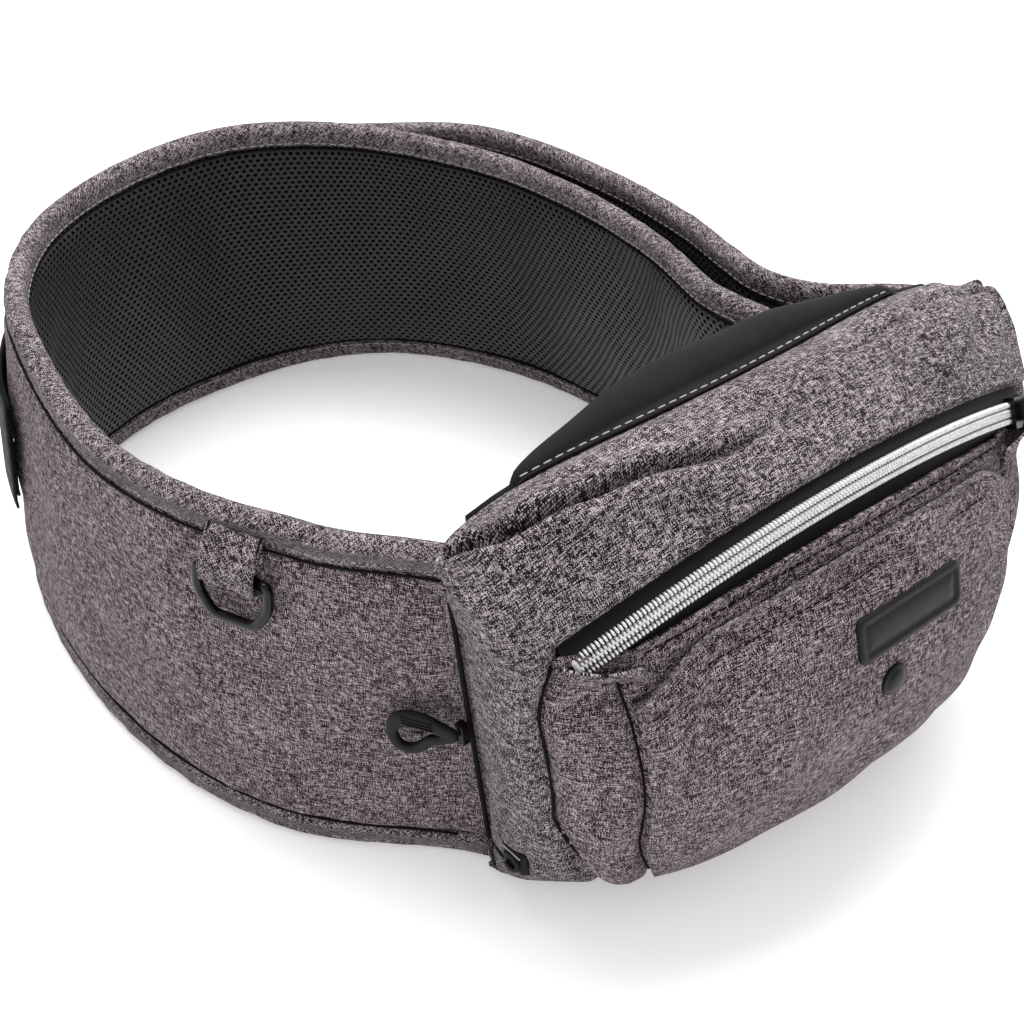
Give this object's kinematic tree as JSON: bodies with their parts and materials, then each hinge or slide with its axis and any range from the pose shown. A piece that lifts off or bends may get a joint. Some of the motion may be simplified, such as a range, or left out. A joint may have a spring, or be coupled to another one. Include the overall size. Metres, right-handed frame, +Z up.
{
  "type": "hip seat baby carrier",
  "caption": "Padded waist belt that closes at the back, carrying a foam hip seat with a zipped bag, a patch pocket, D-rings and a side-release strap.",
  "frame": {"origin": "centre of the belt's footprint, on the surface that the belt's lower edge stands on", "axes": "+Z up, +Y from the seat to the back of the belt, +X to the seat's right as seen from in front of the seat"},
  "size_m": [0.302, 0.406, 0.1669],
  "materials": {
    "bias_binding": "bias-cut melange weave",
    "black_cloth": "plain weave",
    "black_leather": "smooth, bevelled edge",
    "black_metal": "gloss black",
    "black_plastic": "moulded, satin",
    "black_webbing": "ribbed webbing",
    "foam": "open foam",
    "heather_cloth": "melange linen weave",
    "silver_zip": "silvered coil",
    "spacer_mesh": "spacer mesh with a soft sheen",
    "stiff_board": "plain"
  },
  "bodies": {
    "seat": {"left_wing_outer_shell": "heather_cloth", "left_wing_foam_pad": "foam", "left_wing_mesh_lining": "spacer_mesh", "left_wing_top_binding": "bias_binding", "left_wing_bottom_binding": "bias_binding", "left_ring_tab": "bias_binding", "buckle_socket": "black_plastic", "left_strap": "black_webbing", "left_strap_anchor": "black_webbing", "loop_patch": "black_cloth", "seat_foam_core": "foam", "seat_top_cover": "heather_cloth", "body_side_strip": "black_cloth", "seat_bottom_panel": "heather_cloth", "bag_back_panel": "black_cloth", "bag_front_panel": "heather_cloth", "left_bag_gusset": "heather_cloth", "left_seat_side_panel": "heather_cloth", "right_bag_gusset": "heather_cloth", "right_seat_side_panel": "heather_cloth", "seat_support_plate": "stiff_board", "seat_back_panel": "spacer_mesh", "zip_upper_tape": "black_cloth", "zip_upper_teeth": "silver_zip", "zip_lower_tape": "black_cloth", "zip_lower_teeth": "silver_zip", "zip_left_stop": "silver_zip", "zip_right_stop": "silver_zip", "side_zip_tape": "black_cloth", "bottom_tab": "black_webbing"},
    "right_wing": {"right_wing_outer_shell": "heather_cloth", "right_wing_foam_pad": "foam", "right_wing_mesh_lining": "spacer_mesh", "right_wing_top_binding": "bias_binding", "right_wing_bottom_binding": "bias_binding", "right_ring_tab": "bias_binding", "right_strap": "black_webbing", "right_strap_anchor": "black_webbing", "strap_keeper": "black_cloth", "hook_patch": "black_cloth", "right_seam_tab": "black_webbing"},
    "strap_tail": {"strap_tail": "black_webbing", "buckle_clasp": "black_plastic"},
    "upper_prong": {"upper_release_prong": "black_plastic"},
    "lower_prong": {"lower_release_prong": "black_plastic"},
    "left_ring": {"left_d_ring": "black_metal"},
    "right_ring": {"right_d_ring": "black_metal"},
    "zip_runner": {"zip_slider": "black_metal"},
    "zip_pull": {"zip_pull": "black_metal"},
    "pocket": {"pocket_front": "heather_cloth", "blank_patch": "black_leather", "snap_cap": "black_plastic"},
    "side_runner": {"side_zip_slider": "black_metal"},
    "side_puller": {"side_puller": "black_plastic"}
  },
  "joints": [
    {"name": "right_wing_swing", "type": "hinge", "parent": "seat", "child": "right_wing", "pos_m": [0.132, -0.1133, 0], "axis": [0, 0, -1], "range_deg": [0, 50]},
    {"name": "strap_tail_swing", "type": "hinge", "parent": "right_wing", "child": "strap_tail", "pos_m": [0.06631, 0.18676, 0.079], "axis": [0, 0, 1], "range_deg": [0, 50.53]},
    {"name": "upper_prong_press", "type": "slide", "parent": "strap_tail", "child": "upper_prong", "axis": [-0.0127, 0.0582, -0.9982], "range_m": [0, 0.0022], "stiffness_N_per_m": 300, "springref_m": -0.0004},
    {"name": "lower_prong_press", "type": "slide", "parent": "strap_tail", "child": "lower_prong", "axis": [0.0127, -0.0582, 0.9982], "range_m": [0, 0.0022], "stiffness_N_per_m": 300, "springref_m": -0.0004},
    {"name": "left_ring_swing", "type": "hinge", "parent": "seat", "child": "left_ring", "pos_m": [-0.13627, -0.05418, 0.113], "axis": [-0.3888, 0.9213, 0], "range_deg": [0, 130]},
    {"name": "right_ring_swing", "type": "hinge", "parent": "right_wing", "child": "right_ring", "pos_m": [0.11175, -0.04401, 0.113], "axis": [-0.2516, -0.9678, 0], "range_deg": [0, 130]},
    {"name": "zip_run", "type": "hinge", "parent": "seat", "child": "zip_runner", "pos_m": [0.0135, -0.07141, -0.07166], "axis": [0, -0.9104, -0.4138], "range_deg": [0, 42.87]},
    {"name": "zip_pull_flip", "type": "hinge", "parent": "zip_runner", "child": "zip_pull", "pos_m": [0.11249, -0.1692, 0.13178], "axis": [-0.2463, -0.4869, -0.838], "range_deg": [0, 150]},
    {"name": "pocket_open", "type": "hinge", "parent": "seat", "child": "pocket", "pos_m": [0.0135, -0.1723, 0.012], "axis": [1, 0, 0], "range_deg": [0, 20], "stiffness_Nm_per_rad": 0.08, "springref_deg": -20.05},
    {"name": "side_zip_run", "type": "slide", "parent": "seat", "child": "side_runner", "axis": [-0.1222, 0, 0.9925], "range_m": [-0.05, 0.05]},
    {"name": "side_puller_swing", "type": "hinge", "parent": "side_runner", "child": "side_puller", "pos_m": [-0.10296, -0.1225, 0.07166], "axis": [-0.1222, 0, 0.9925], "range_deg": [0, 90]}
  ],
  "couplings": [
    {"joint": "strap_tail_swing", "follows": "right_wing_swing", "ratio": 1.0007}
  ]
}
